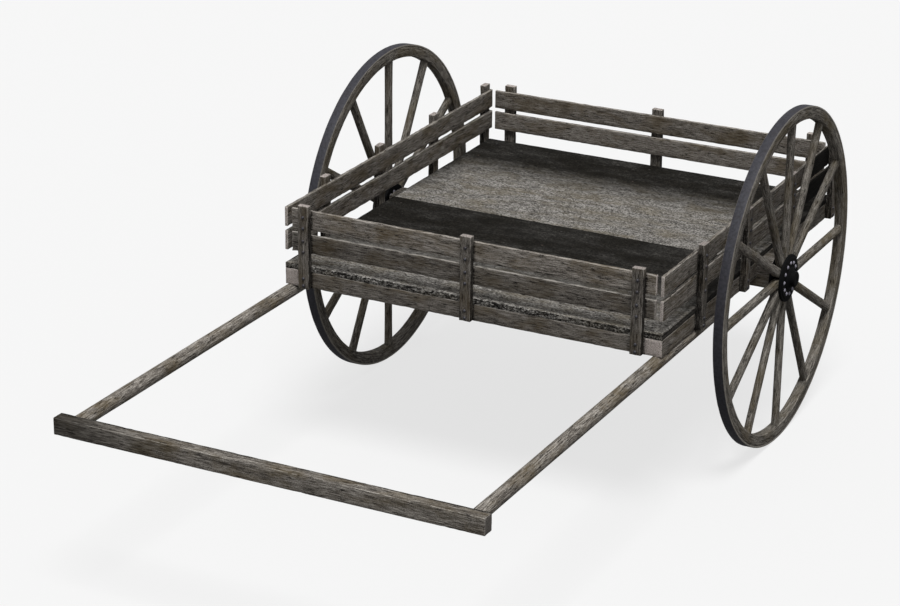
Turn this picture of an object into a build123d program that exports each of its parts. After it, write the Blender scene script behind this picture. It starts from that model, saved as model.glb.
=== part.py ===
from build123d import *
import os
from math import radians, sqrt, tan

# Two-wheeled wooden hand cart: a slatted tray on a sill frame, two shafts with a crossbar
# to pull it by, and two spoked wheels that turn on the spindles of a fixed iron axle.
# Millimetres. X is to the right, Y runs rearwards from the crossbar, Z is up. The origin
# is on the ground, on the middle plane, halfway along the cart's whole length.

# ---- driving dimensions ----

# deck and the frame of sills below it
deck_width = 1420
deck_length = 1584
deck_thickness = 20
board_count = 6
board_gap = 0.5
sill_width = 75
sill_height = 60
tenon_length = 40
tenon_width = 50
tenon_thickness = 20

# fence round the deck
slat_height = 71
slat_thickness = 12
lower_slat_rise = 46.5    # deck to the lower slat
slat_spacing = 15         # lower slat to the upper one
corner_gap = 15.5         # end of a front or rear slat to the side slat's inner face
post_width = 42
post_thickness = 23
post_head = 22            # post above the upper slat
post_foot = 2             # sill's underside up to the post's lower end
end_post_inset = 85       # deck's side to the centre of the outer front and rear posts
side_post_places = (302, 702, 1128)  # front edge of the deck to the first three side posts
last_post_inset = 22      # rear edge of the deck to the centre of the last side post

# wheels, from the tyre inwards
wheel_diameter = 1221
rim_width = 36
wheel_clearance = 63      # deck's side to the inner face of the rim
tyre_thickness = 8
felloe_depth = 38
felloe_count = 6
spoke_count = 12
spoke_width = 35          # in the plane of the wheel
spoke_thickness = 27      # along the axle
spoke_tenon_radius = 8
spoke_tenon_length = 24

# hub
flange_radius = 85
flange_gap = 28           # between the two flanges, where the spokes are gripped
inner_flange_thickness = 10
outer_flange_thickness = 8
boss_radius = 74          # raised middle of the outer flange
boss_height = 3
nave_radius = 40
spigot_radius = 30        # nose of the nave, inside the cap
spigot_length = 6
cap_base_radius = 42
cap_cone_height = 8
cap_radius = 27
cap_length = 25
cap_wall = 3
hub_bolt_circle_radius = 57
hub_bolt_radius = 4
hub_bolt_head_radius = 7
hub_bolt_head_height = 4
hub_bolt_tail_height = 3

# axle
axle_setback = 898        # front edge of the deck to the axle
axle_drop = 2             # sill's underside down to the axle's centre
axle_bar = 40             # side of the square bar
spindle_radius = 17
collar_radius = 30
collar_thickness = 6
thread_radius = 12
thread_length = 14
axle_nut_width = 36
axle_nut_height = 10
washer_radius = 21
washer_thickness = 3
beam_width = 104
beam_depth = 95
inner_clip_place = 180    # middle plane to the inner clips that hold the bar in the beam
outer_clip_inset = 150    # deck's side to the outer clips
clip_width = 70
clip_thickness = 6

# shafts and crossbar
handle_reach = 1349       # front edge of the deck to the front of the crossbar
shaft_inset = 20          # deck's side to the shaft's centre line
shaft_radius = 24
shaft_drop = 22           # sill's underside down to the shaft's centre line
shaft_overlap = 560       # length of shaft under the deck
shaft_tenon_radius = 14
shaft_tenon_length = 30
crossbar_overhang = 54    # crossbar beyond the shaft's centre line
crossbar_thickness = 46
crossbar_height = 58
crossbar_edge = 3

# fasteners
screw_radius = 2.5
screw_head_radius = 6
screw_head_height = 5
screw_tip_cover = 2       # wood left beyond the tip of a slat screw
sill_screw_depth = 20
slat_screw_spread = 40    # between the two screws in one slat
slat_screw_drop = 4       # slat's centre down to the middle of its two screws
sill_screw_rises = (14, 40)
bolt_radius = 5
bolt_head_radius = 10
bolt_head_height = 5
bolt_nut_width = 17
bolt_nut_height = 8
bolt_recess_radius = 12
bolt_recess_depth = 6     # for a bolt's head
nut_recess_depth = 12
bolt_end = 2              # bolt beyond its nut
shaft_bolt_places = (70, 230, 480)  # front edge of the deck to each bolt through sill and shaft
beam_bolt_inset = 14      # edge of the beam to the bolts through it
nail_radius = 2
nail_head_radius = 4
nail_head_height = 2
nail_length = 38
nail_inset = 17           # inner face of a side sill to the row of nails above it
nail_spread = 160         # between the two nails in one board

# clearances
joint_gap = 0.2           # beside a tenon, a lap and the bar in its groove
hole_gap = 0.1            # round the shank of a fastener
running_gap = 0.05        # round the spindle
ring_gap = 0.2            # between the rings of the wheel
end_gap = 0.4             # between the ends of two felloes
axial_play = 1            # of the hub along the spindle
cut_margin = 2            # a cutting tool's overrun past a face

# ---- places that follow from them ----

axle_z = wheel_diameter / 2
sill_bottom = axle_z + axle_drop
sill_top = sill_bottom + sill_height
sill_middle = (sill_bottom + sill_top) / 2
deck_top = sill_top + deck_thickness
lower_slat_z = deck_top + lower_slat_rise + slat_height / 2
upper_slat_z = lower_slat_z + slat_height + slat_spacing
post_bottom = sill_bottom + post_foot
post_top = upper_slat_z + slat_height / 2 + post_head

deck_side = deck_width / 2
side_sill_middle = deck_side - sill_width / 2
side_sill_inner = deck_side - sill_width
cart_rear = deck_length + post_thickness + screw_head_height
deck_front = (handle_reach - cart_rear) / 2
deck_rear = deck_front + deck_length
axle_y = deck_front + axle_setback

wheel_x = deck_side + wheel_clearance + rim_width / 2
inner_flange_x = wheel_x - flange_gap / 2 - inner_flange_thickness
outer_flange_x = wheel_x + flange_gap / 2
boss_x = outer_flange_x + outer_flange_thickness + boss_height
nave_end_x = boss_x + spigot_length
spindle_end_x = nave_end_x + axial_play
collar_x = inner_flange_x - axial_play - collar_thickness
beam_bottom = sill_top - beam_depth
beam_edge = beam_width / 2
beam_bolt_ys = (axle_y - beam_edge + beam_bolt_inset, axle_y + beam_edge - beam_bolt_inset)
clip_xs = [side * place for side in (-1, 1)
           for place in (inner_clip_place, deck_side - outer_clip_inset)]

felloe_outer_radius = wheel_diameter / 2 - tyre_thickness - ring_gap
felloe_inner_radius = felloe_outer_radius - felloe_depth
spoke_pitch = 360 / spoke_count

shaft_x = deck_side - shaft_inset
shaft_z = sill_bottom - shaft_drop
crossbar_front = deck_front - handle_reach
crossbar_rear = crossbar_front + crossbar_thickness
crossbar_half = shaft_x + crossbar_overhang

slat_screw_length = post_thickness + slat_thickness - screw_tip_cover
sill_screw_length = post_thickness + sill_screw_depth
screw_hole_radius = screw_radius + hole_gap
bolt_hole_radius = bolt_radius + hole_gap


def save(piece, name):
    piece.label = name
    export_step(piece, f"parts/{name}.step")


def cuboid(low, high, mode=Mode.ADD):
    """Adds or cuts the box between two corners in the builder that is open."""
    with Locations(tuple((a + b) / 2 for a, b in zip(low, high))):
        Box(*(b - a for a, b in zip(low, high)), mode=mode)


def mirrored(piece):
    """The same piece on the other side of the cart."""
    with BuildPart() as other_side:
        mirror(piece, about=Plane.YZ)
    return other_side.part


# ---- fasteners, each along Z with its head's underside at zero ----

def domed_pin(head_radius, head_height, shank_radius, shank_length):
    with BuildPart() as pin:
        with BuildSketch(Plane.XZ):
            with BuildLine():
                Polyline((0, head_height), (0, -shank_length), (shank_radius, -shank_length),
                         (shank_radius, 0), (head_radius, 0))
                TangentArc((0, head_height), (head_radius, 0), tangent=(1, 0))
            make_face()
        revolve(axis=Axis.Z)
    return pin.part


def hex_nut(width, height, bore_radius):
    with BuildPart() as nut:
        with BuildSketch():
            RegularPolygon(width / 2, 6, major_radius=False)
            Circle(bore_radius, mode=Mode.SUBTRACT)
        extrude(amount=height)
    return nut.part


# ---- the four faces of the tray, each a plane with its Z outwards and its Y up ----

front_face = Plane(origin=(0, deck_front, 0), x_dir=(1, 0, 0), z_dir=(0, -1, 0))
rear_face = Plane(origin=(0, deck_rear, 0), x_dir=(-1, 0, 0), z_dir=(0, 1, 0))
left_face = Plane(origin=(-deck_side, 0, 0), x_dir=(0, -1, 0), z_dir=(-1, 0, 0))
right_face = Plane(origin=(deck_side, 0, 0), x_dir=(0, 1, 0), z_dir=(1, 0, 0))

end_post_x = deck_side - end_post_inset
side_post_ys = [deck_front + place for place in side_post_places] + [deck_rear - last_post_inset]
end_posts = {"left": -end_post_x, "middle": 0, "right": end_post_x}
side_posts = {str(number): y for number, y in enumerate(side_post_ys, start=1)}

# name of the face, its plane, and where its posts stand along it
sides = [
    ("front", front_face, end_posts),
    ("rear", rear_face, {name: -x for name, x in end_posts.items()}),
    ("left", left_face, {name: -y for name, y in side_posts.items()}),
    ("right", right_face, side_posts),
]

lower_screw_zs = [lower_slat_z - slat_screw_drop + s * slat_screw_spread / 2 for s in (-1, 1)]
upper_screw_zs = [upper_slat_z - slat_screw_drop + s * slat_screw_spread / 2 for s in (-1, 1)]
sill_screw_zs = [sill_bottom + rise for rise in sill_screw_rises]


def screw_points(posts, heights):
    return [(place, height) for place in posts.values() for height in heights]


def cut_screw_holes(face, posts, heights, depth):
    """Pilot holes from a face of the tray into the builder that is open."""
    with Locations(face):
        with Locations(*screw_points(posts, heights)):
            Hole(screw_hole_radius, depth + hole_gap)


def post(face, place):
    with BuildPart() as piece:
        with BuildSketch(face):
            with Locations((place, (post_bottom + post_top) / 2)):
                Rectangle(post_width, post_top - post_bottom)
        extrude(amount=post_thickness)
        with Locations(face.offset(post_thickness)):
            with Locations(*[(place, z) for z in lower_screw_zs + upper_screw_zs + sill_screw_zs]):
                Hole(screw_hole_radius, post_thickness)
    return piece.part


def slat(face, posts, middle, length, height, screw_zs):
    with BuildPart() as piece:
        with BuildSketch(face):
            with Locations((middle, height)):
                Rectangle(length, slat_height)
        extrude(amount=-slat_thickness)
        cut_screw_holes(face, posts, screw_zs, slat_screw_length - post_thickness)
    return piece.part


# ---- places of the vertical fasteners ----

board_width = (deck_length - (board_count - 1) * board_gap) / board_count
board_middles = [deck_front + board_width / 2 + n * (board_width + board_gap)
                 for n in range(board_count)]
nail_xs = (-side_sill_inner - nail_inset, 0, side_sill_inner + nail_inset)
nail_points = [(x, middle + s * nail_spread / 2, deck_top)
               for x in nail_xs for middle in board_middles for s in (-1, 1)]
shaft_bolt_points = [(shaft_x, deck_front + place, sill_top) for place in shaft_bolt_places]
beam_bolt_points = [(side_sill_middle, y, sill_top) for y in beam_bolt_ys]
clip_bolt_points = [(x, y, sill_top) for x in clip_xs for y in beam_bolt_ys]


def on_both_sides(points):
    return points + [(-x, y, z) for x, y, z in points]


def cut_nail_holes():
    with Locations(*nail_points):
        Hole(nail_radius + hole_gap, nail_length + hole_gap)


def cut_bolt_holes(points):
    with Locations(*points):
        CounterBoreHole(bolt_hole_radius, bolt_recess_radius, bolt_recess_depth)


def end_tenon(x, y, along_x, mode=Mode.ADD):
    """A tenon, or with mode SUBTRACT its mortise, centred on x and y at mid-height of the sills."""
    spare = joint_gap if mode == Mode.SUBTRACT else 0
    length, width = tenon_length + 2 * spare, tenon_width + 2 * spare
    with Locations((x, y, sill_middle)):
        Box(length if along_x else width, width if along_x else length,
            tenon_thickness + 2 * spare, mode=mode)


# ---- sills ----

front_sill_y = deck_front + sill_width / 2
rear_sill_y = deck_rear - sill_width / 2
side_tenon_x = side_sill_inner + tenon_length / 2
centre_tenon_ys = (deck_front + sill_width - tenon_length / 2,
                   deck_rear - sill_width + tenon_length / 2)
lap_cut = beam_edge + joint_gap

with BuildPart() as right_side_sill:
    cuboid((side_sill_inner, deck_front, sill_bottom), (deck_side, deck_rear, sill_top))
    cuboid((side_sill_inner, axle_y - lap_cut, sill_bottom), (deck_side, axle_y + lap_cut, sill_middle),
           mode=Mode.SUBTRACT)
    for y in (front_sill_y, rear_sill_y):
        end_tenon(side_tenon_x, y, True, Mode.SUBTRACT)
    for face, posts in ((right_face, side_posts), (front_face, end_posts), (rear_face, end_posts)):
        cut_screw_holes(face, posts, sill_screw_zs, sill_screw_depth)
    cut_bolt_holes(shaft_bolt_points + beam_bolt_points)
    cut_nail_holes()

with BuildPart() as front_sill:
    cuboid((-side_sill_inner, deck_front, sill_bottom), (side_sill_inner, deck_front + sill_width, sill_top))
    for x in (-side_tenon_x, side_tenon_x):
        end_tenon(x, front_sill_y, True)
    end_tenon(0, centre_tenon_ys[0], False, Mode.SUBTRACT)
    cut_screw_holes(front_face, end_posts, sill_screw_zs, sill_screw_depth)
    cut_nail_holes()

with BuildPart() as rear_sill:
    cuboid((-side_sill_inner, deck_rear - sill_width, sill_bottom), (side_sill_inner, deck_rear, sill_top))
    for x in (-side_tenon_x, side_tenon_x):
        end_tenon(x, rear_sill_y, True)
    end_tenon(0, centre_tenon_ys[1], False, Mode.SUBTRACT)
    cut_screw_holes(rear_face, end_posts, sill_screw_zs, sill_screw_depth)
    cut_nail_holes()

with BuildPart() as centre_sill:
    cuboid((-sill_width / 2, deck_front + sill_width, sill_bottom),
           (sill_width / 2, deck_rear - sill_width, sill_top))
    for y in centre_tenon_ys:
        end_tenon(0, y, False)
    cuboid((-sill_width / 2, axle_y - lap_cut, sill_bottom), (sill_width / 2, axle_y + lap_cut, sill_middle),
           mode=Mode.SUBTRACT)
    cut_nail_holes()


# ---- deck ----

def deck_board(middle):
    with BuildPart() as board:
        cuboid((-deck_side, middle - board_width / 2, sill_top),
               (deck_side, middle + board_width / 2, deck_top))
        with Locations(*nail_points):
            CounterBoreHole(nail_radius + hole_gap, nail_head_radius + hole_gap, nail_head_height,
                            depth=nail_length)
    return board.part


with BuildPart() as nail:
    Cylinder(nail_head_radius, nail_head_height, align=(Align.CENTER, Align.CENTER, Align.MAX))
    Cylinder(nail_radius, nail_length, align=(Align.CENTER, Align.CENTER, Align.MAX))

with BuildPart() as deck_nails:
    with Locations(*nail_points):
        add(nail.part)


# ---- axle beam, axle and its clips ----

groove_half = axle_bar / 2 + joint_gap
bar_top = axle_z + axle_bar / 2
bar_bottom = axle_z - axle_bar / 2

with BuildPart() as axle_beam:
    cuboid((-collar_x, axle_y - beam_edge, beam_bottom), (collar_x, axle_y + beam_edge, sill_top))
    for middle in (-side_sill_middle, 0, side_sill_middle):
        cuboid((middle - sill_width / 2 - joint_gap, axle_y - beam_edge, sill_middle),
               (middle + sill_width / 2 + joint_gap, axle_y + beam_edge, sill_top), mode=Mode.SUBTRACT)
    cuboid((-collar_x, axle_y - groove_half, beam_bottom), (collar_x, axle_y + groove_half, bar_top),
           mode=Mode.SUBTRACT)
    cut_bolt_holes(clip_bolt_points)
    with Locations(*on_both_sides(beam_bolt_points)):
        Hole(bolt_hole_radius)
    with Locations(*[(x, y, beam_bottom + nut_recess_depth)
                     for x, y, z in on_both_sides(beam_bolt_points)]):
        Hole(bolt_recess_radius, nut_recess_depth)

with BuildPart() as axle:
    cuboid((-collar_x, axle_y - axle_bar / 2, bar_bottom), (collar_x, axle_y + axle_bar / 2, bar_top))
    for spindle in (Plane((collar_x, axle_y, axle_z), z_dir=(1, 0, 0)),
                    Plane((-collar_x, axle_y, axle_z), z_dir=(-1, 0, 0))):
        with BuildSketch(spindle):
            Circle(collar_radius)
        extrude(amount=collar_thickness)
        with BuildSketch(spindle):
            Circle(spindle_radius)
        extrude(amount=spindle_end_x - collar_x)
        with BuildSketch(spindle):
            Circle(thread_radius)
        extrude(amount=spindle_end_x - collar_x + thread_length)

with BuildPart() as axle_clips:
    for middle in clip_xs:
        cuboid((middle - clip_width / 2, axle_y - beam_edge, beam_bottom - clip_thickness),
               (middle + clip_width / 2, axle_y + beam_edge, beam_bottom))
        cuboid((middle - clip_width / 2, axle_y - axle_bar / 2, beam_bottom),
               (middle + clip_width / 2, axle_y + axle_bar / 2, bar_bottom))
    with Locations(*clip_bolt_points):
        Hole(bolt_hole_radius, beam_depth + clip_thickness)

with BuildPart() as axle_nuts:
    for spindle in (Plane((spindle_end_x, axle_y, axle_z), z_dir=(1, 0, 0)),
                    Plane((-spindle_end_x, axle_y, axle_z), z_dir=(-1, 0, 0))):
        with BuildSketch(spindle):
            Circle(washer_radius)
            Circle(thread_radius + hole_gap, mode=Mode.SUBTRACT)
        extrude(amount=washer_thickness)
        with Locations(spindle.offset(washer_thickness + hole_gap)):
            add(hex_nut(axle_nut_width, axle_nut_height, thread_radius + hole_gap))


# ---- shafts and crossbar ----

with BuildPart() as right_shaft:
    shaft_line = Plane((shaft_x, crossbar_rear, shaft_z), x_dir=(1, 0, 0), z_dir=(0, 1, 0))
    with BuildSketch(shaft_line):
        Circle(shaft_radius)
    extrude(amount=deck_front + shaft_overlap - crossbar_rear)
    with BuildSketch(shaft_line):
        Circle(shaft_tenon_radius)
    extrude(amount=-shaft_tenon_length)
    cuboid((shaft_x - shaft_radius, deck_front, sill_bottom),
           (shaft_x + shaft_radius, deck_front + shaft_overlap, shaft_z + shaft_radius),
           mode=Mode.SUBTRACT)
    with Locations(*shaft_bolt_points):
        Hole(bolt_hole_radius)
    with Locations(*[(x, y, shaft_z - shaft_radius + nut_recess_depth) for x, y, z in shaft_bolt_points]):
        Hole(bolt_recess_radius, nut_recess_depth)

with BuildPart() as crossbar:
    cuboid((-crossbar_half, crossbar_front, shaft_z - crossbar_height / 2),
           (crossbar_half, crossbar_rear, shaft_z + crossbar_height / 2))
    chamfer(crossbar.edges().filter_by(Axis.X), crossbar_edge)
    with Locations(Plane((0, crossbar_rear, shaft_z), x_dir=(1, 0, 0), z_dir=(0, 1, 0))):
        with Locations((-shaft_x, 0), (shaft_x, 0)):
            Hole(shaft_tenon_radius + joint_gap, shaft_tenon_length + joint_gap)


# ---- bolts and nuts of the frame: (points, underside of the head down to the nut) ----

head_seat = sill_top - bolt_recess_depth
bolt_sets = [
    (on_both_sides(shaft_bolt_points), head_seat - (shaft_z - shaft_radius + nut_recess_depth)),
    (on_both_sides(beam_bolt_points), head_seat - (beam_bottom + nut_recess_depth)),
    (clip_bolt_points, head_seat - (beam_bottom - clip_thickness)),
]

with BuildPart() as frame_bolts:
    for points, grip in bolt_sets:
        with Locations(*[(x, y, head_seat) for x, y, z in points]):
            add(domed_pin(bolt_head_radius, bolt_head_height, bolt_radius,
                          grip + bolt_nut_height + bolt_end))
        with Locations(*[(x, y, head_seat - grip - bolt_nut_height) for x, y, z in points]):
            add(hex_nut(bolt_nut_width, bolt_nut_height, bolt_hole_radius))

with BuildPart() as post_screws:
    slat_screw = domed_pin(screw_head_radius, screw_head_height, screw_radius, slat_screw_length)
    sill_screw = domed_pin(screw_head_radius, screw_head_height, screw_radius, sill_screw_length)
    for name, face, posts in sides:
        with Locations(face.offset(post_thickness)):
            with Locations(*screw_points(posts, lower_screw_zs + upper_screw_zs)):
                add(slat_screw)
            with Locations(*screw_points(posts, sill_screw_zs)):
                add(sill_screw)


# ---- wheel, built on the right; its plane's Z runs outwards along the axle ----

def plane_at(x):
    return Plane((x, axle_y, axle_z), x_dir=(0, 1, 0), z_dir=(1, 0, 0))


def flat_ring(plane, outer_radius, inner_radius, thickness):
    with BuildPart() as ring:
        with BuildSketch(plane):
            Circle(outer_radius)
            Circle(inner_radius, mode=Mode.SUBTRACT)
        extrude(amount=thickness)
    return ring.part


wheel_plane = plane_at(wheel_x)
inner_rim_face = wheel_plane.offset(-rim_width / 2)

with BuildPart() as right_tyre:
    add(flat_ring(inner_rim_face, wheel_diameter / 2, wheel_diameter / 2 - tyre_thickness, rim_width))

with BuildPart() as right_felloes:
    add(flat_ring(inner_rim_face, felloe_outer_radius, felloe_inner_radius, rim_width))
    joint_ring_radius = (felloe_outer_radius + felloe_inner_radius) / 2
    with Locations(wheel_plane):
        with PolarLocations(joint_ring_radius, felloe_count, start_angle=spoke_pitch / 2):
            Box(felloe_depth + 2 * cut_margin, end_gap, rim_width + cut_margin, mode=Mode.SUBTRACT)
        with PolarLocations(felloe_inner_radius, spoke_count):
            Cylinder(spoke_tenon_radius + joint_gap, 2 * (spoke_tenon_length + joint_gap),
                     rotation=(0, 90, 0), mode=Mode.SUBTRACT)

# one spoke along X from the hub's centre: a wedge foot, an oval blade and a round tenon
foot_slope = tan(radians(spoke_pitch / 2))
foot_start = nave_radius + ring_gap
foot_end = spoke_width / 2 / foot_slope
foot_side_gap = joint_gap / 2
blade_end = sqrt((felloe_inner_radius - ring_gap) ** 2 - (spoke_width / 2) ** 2)

with BuildPart() as spoke:
    with BuildSketch():
        with BuildLine():
            Polyline((foot_start, foot_start * foot_slope - foot_side_gap),
                     (foot_end, foot_end * foot_slope - foot_side_gap),
                     (foot_end, foot_side_gap - foot_end * foot_slope),
                     (foot_start, foot_side_gap - foot_start * foot_slope), close=True)
        make_face()
    extrude(amount=flange_gap / 2 - foot_side_gap, both=True)
    with BuildSketch(Plane.YZ.offset(foot_end)):
        Ellipse(spoke_width / 2 - foot_side_gap, spoke_thickness / 2)
    extrude(amount=blade_end - foot_end)
    with BuildSketch(Plane.YZ.offset(blade_end)):
        Circle(spoke_tenon_radius)
    extrude(amount=spoke_tenon_length)
    with Locations((hub_bolt_circle_radius, 0, flange_gap / 2)):
        Hole(hub_bolt_radius + hole_gap, flange_gap)

with BuildPart() as right_spokes:
    with Locations(wheel_plane):
        with PolarLocations(0, spoke_count):
            add(spoke.part)


def bolted_ring(plane, outer_radius, thickness):
    """A hub flange: a ring round the nave with a hole for each hub bolt."""
    with BuildPart() as flange:
        add(flat_ring(plane, outer_radius, nave_radius + hole_gap, thickness))
        with Locations(plane.offset(thickness)):
            with PolarLocations(hub_bolt_circle_radius, spoke_count):
                Hole(hub_bolt_radius + hole_gap, thickness)
    return flange.part


with BuildPart() as right_inner_flange:
    add(bolted_ring(plane_at(inner_flange_x), flange_radius, inner_flange_thickness))

with BuildPart() as right_outer_flange:
    add(bolted_ring(plane_at(outer_flange_x), flange_radius, outer_flange_thickness))
    add(bolted_ring(plane_at(outer_flange_x + outer_flange_thickness), boss_radius, boss_height))

with BuildPart() as right_nave:
    bore_radius = spindle_radius + running_gap
    add(flat_ring(plane_at(inner_flange_x), nave_radius, bore_radius, boss_x - inner_flange_x))
    add(flat_ring(plane_at(boss_x), spigot_radius, bore_radius, spigot_length))

# cap in section: X is the distance from the axle's centre line, Y the distance out from the boss
with BuildPart() as right_hub_cap:
    cap_section = Plane((boss_x, axle_y, axle_z), x_dir=(0, 1, 0), z_dir=(0, 0, -1))
    with BuildSketch(cap_section):
        with BuildLine():
            Polyline((spigot_radius + hole_gap, 0), (cap_base_radius, 0), (cap_radius, cap_cone_height),
                     (cap_radius, cap_length), (0, cap_length), (0, cap_length - cap_wall),
                     (cap_radius - cap_wall, cap_length - cap_wall),
                     (cap_radius - cap_wall, spigot_length + hole_gap),
                     (spigot_radius + hole_gap, spigot_length + hole_gap), close=True)
        make_face()
    revolve(axis=Axis((boss_x, axle_y, axle_z), (1, 0, 0)))

with BuildPart() as hub_bolt:
    grip = boss_x - inner_flange_x
    add(domed_pin(hub_bolt_head_radius, hub_bolt_head_height, hub_bolt_radius,
                  grip + hub_bolt_tail_height))
    with BuildSketch(Plane.XY.offset(-grip)):
        Circle(hub_bolt_head_radius)
    extrude(amount=-hub_bolt_tail_height)

with BuildPart() as right_hub_bolts:
    with Locations(plane_at(boss_x)):
        with PolarLocations(hub_bolt_circle_radius, spoke_count):
            add(hub_bolt.part)


# ---- write every piece ----

os.makedirs("parts", exist_ok=True)

single_pieces = {
    "front_sill": front_sill, "rear_sill": rear_sill, "centre_sill": centre_sill,
    "deck_nails": deck_nails, "axle_beam": axle_beam, "axle": axle, "axle_clips": axle_clips,
    "axle_nuts": axle_nuts, "crossbar": crossbar, "frame_bolts": frame_bolts,
    "post_screws": post_screws,
}
for name, piece in single_pieces.items():
    save(piece.part, name)

paired_pieces = {
    "side_sill": right_side_sill, "shaft": right_shaft, "tyre": right_tyre,
    "felloes": right_felloes, "spokes": right_spokes, "nave": right_nave,
    "inner_flange": right_inner_flange, "outer_flange": right_outer_flange,
    "hub_bolts": right_hub_bolts, "hub_cap": right_hub_cap,
}
for name, piece in paired_pieces.items():
    save(piece.part, f"right_{name}")
    save(mirrored(piece.part), f"left_{name}")

for number, middle in enumerate(board_middles, start=1):
    save(deck_board(middle), f"deck_board_{number}")

end_slat_length = 2 * (deck_side - slat_thickness - corner_gap)
deck_middle = (deck_front + deck_rear) / 2
slat_spans = {"front": (0, end_slat_length), "rear": (0, end_slat_length),
              "left": (-deck_middle, deck_length), "right": (deck_middle, deck_length)}
for name, face, posts in sides:
    for place_name, place in posts.items():
        save(post(face, place), f"{name}_{place_name}_post".replace("_middle", "_centre"))
    middle, length = slat_spans[name]
    save(slat(face, posts, middle, length, lower_slat_z, lower_screw_zs), f"{name}_lower_slat")
    save(slat(face, posts, middle, length, upper_slat_z, upper_screw_zs), f"{name}_upper_slat")
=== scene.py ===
import math
import random

import bmesh
import bpy
from mathutils import Matrix, Vector, noise


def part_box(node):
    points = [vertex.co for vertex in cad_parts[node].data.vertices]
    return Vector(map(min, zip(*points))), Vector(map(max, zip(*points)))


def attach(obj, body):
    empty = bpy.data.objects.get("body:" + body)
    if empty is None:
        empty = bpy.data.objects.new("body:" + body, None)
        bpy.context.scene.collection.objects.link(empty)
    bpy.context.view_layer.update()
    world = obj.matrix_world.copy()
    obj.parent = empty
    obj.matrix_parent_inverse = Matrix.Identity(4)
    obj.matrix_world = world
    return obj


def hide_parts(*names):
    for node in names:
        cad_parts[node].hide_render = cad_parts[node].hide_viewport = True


# Weathered two-wheeled hand cart. Metres, X to the right, Y rearwards from the crossbar, Z up.

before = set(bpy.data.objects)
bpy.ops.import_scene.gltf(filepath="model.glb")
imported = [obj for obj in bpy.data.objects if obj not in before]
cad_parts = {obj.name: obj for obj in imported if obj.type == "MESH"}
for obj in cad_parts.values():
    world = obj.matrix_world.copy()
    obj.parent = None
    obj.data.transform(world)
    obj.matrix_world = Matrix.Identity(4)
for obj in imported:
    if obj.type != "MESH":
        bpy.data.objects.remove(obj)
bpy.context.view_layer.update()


camera = {
    "azimuth": 27.13,  # degrees to the right of straight in front
    "elevation": 21.45,
    "roll": 0.56,
    "lens": 109.09,  # mm on a 36 mm sensor
    "place": (3.8391, -7.7538, 4.0253),
}


def addCamera(view):
    turn, rise, roll = (math.radians(view[key]) for key in ("azimuth", "elevation", "roll"))
    back = Vector((math.sin(turn) * math.cos(rise), -math.cos(turn) * math.cos(rise), math.sin(rise)))
    right = Vector((math.cos(turn), math.sin(turn), 0))
    up = back.cross(right)
    across = math.cos(roll) * right + math.sin(roll) * up
    upright = math.cos(roll) * up - math.sin(roll) * right
    eye = bpy.data.objects.new("camera", bpy.data.cameras.new("camera"))
    eye.data.lens = view["lens"]
    eye.data.sensor_width = 36
    turned = Matrix((across, upright, back)).transposed().to_4x4()
    eye.matrix_world = Matrix.Translation(view["place"]) @ turned
    bpy.context.scene.collection.objects.link(eye)
    bpy.context.scene.camera = eye


addCamera(camera)


# sRGB hex to linear RGBA.
def linear(hexColour):
    channels = [int(hexColour[i:i + 2], 16) / 255 for i in (0, 2, 4)]
    return tuple(c / 12.92 if c <= 0.04045 else ((c + 0.055) / 1.055) ** 2.4 for c in channels) + (1.0,)


def addNode(tree, kind, settings=None, inputs=None, stops=None):
    node = tree.nodes.new(kind)
    for name, value in (settings or {}).items():
        setattr(node, name, value)
    for name, value in (inputs or {}).items():
        if isinstance(value, bpy.types.NodeSocket):
            tree.links.new(value, node.inputs[name])
        else:
            node.inputs[name].default_value = value
    if stops:
        ramp = node.color_ramp.elements
        while len(ramp) < len(stops):
            ramp.new(0.5)
        for element, (place, colour) in zip(ramp, stops):
            element.position = place
            element.color = colour if isinstance(colour, tuple) else (colour, colour, colour, 1)
    return node


def startMaterial(name):
    material = bpy.data.materials.new(name)
    material.use_nodes = True
    tree = material.node_tree
    return material, tree, tree.nodes["Principled BSDF"]


# Weathered wood. Sun and rain bleach the surface grey, the soft early wood wears away between
# the hard lines, and drying opens short dark checks along the grain. Every wooden piece carries
# its own grain attribute: X along the grain, Y and Z across it, in metres.
# Real growth rings are 1 to 2 mm apart. They are drawn 3 to 6 mm apart here, so that they show.
woods = {
    "weatheredFrameOak": {
        "dark": "292624", "mid": "5f5a54", "light": "8b8680", "stain": "4a3e28", "check": "0d0b0a",
        "worn": "bdb8b0", "end": "bab0ab", "line": 0.0034, "run": 0.04, "stainAmount": 0.55,
        "fibre": 0.5, "band": 0.16, "speckle": 0.34,
    },
    "sawnDeckPine": {
        "dark": "1d1b19", "mid": "625f5b", "light": "a5a29d", "stain": "625946", "check": "141210",
        "worn": "a8a49d", "end": "47433e", "line": 0.0064, "run": 0.013, "stainAmount": 0.45,
        "fibre": 0.4, "band": 0.16, "speckle": 0.44,
    },
    "darkHandleAsh": {
        "dark": "272421", "mid": "605b55", "light": "9d9891", "stain": "4e4229", "check": "0e0b09",
        "worn": "cdc8c0", "end": "605c59", "line": 0.0036, "run": 0.05, "stainAmount": 0.55,
        "fibre": 0.5, "band": 0.18, "speckle": 0.32,
    },
    "weatheredWheelAsh": {
        "dark": "262321", "mid": "5b5751", "light": "8f8a83", "stain": "4e432b", "check": "0e0c0a",
        "worn": "b5afa6", "end": "8a837b", "line": 0.0034, "run": 0.04, "stainAmount": 0.5,
        "fibre": 0.5, "band": 0.18, "speckle": 0.32,
    },
}


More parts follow.
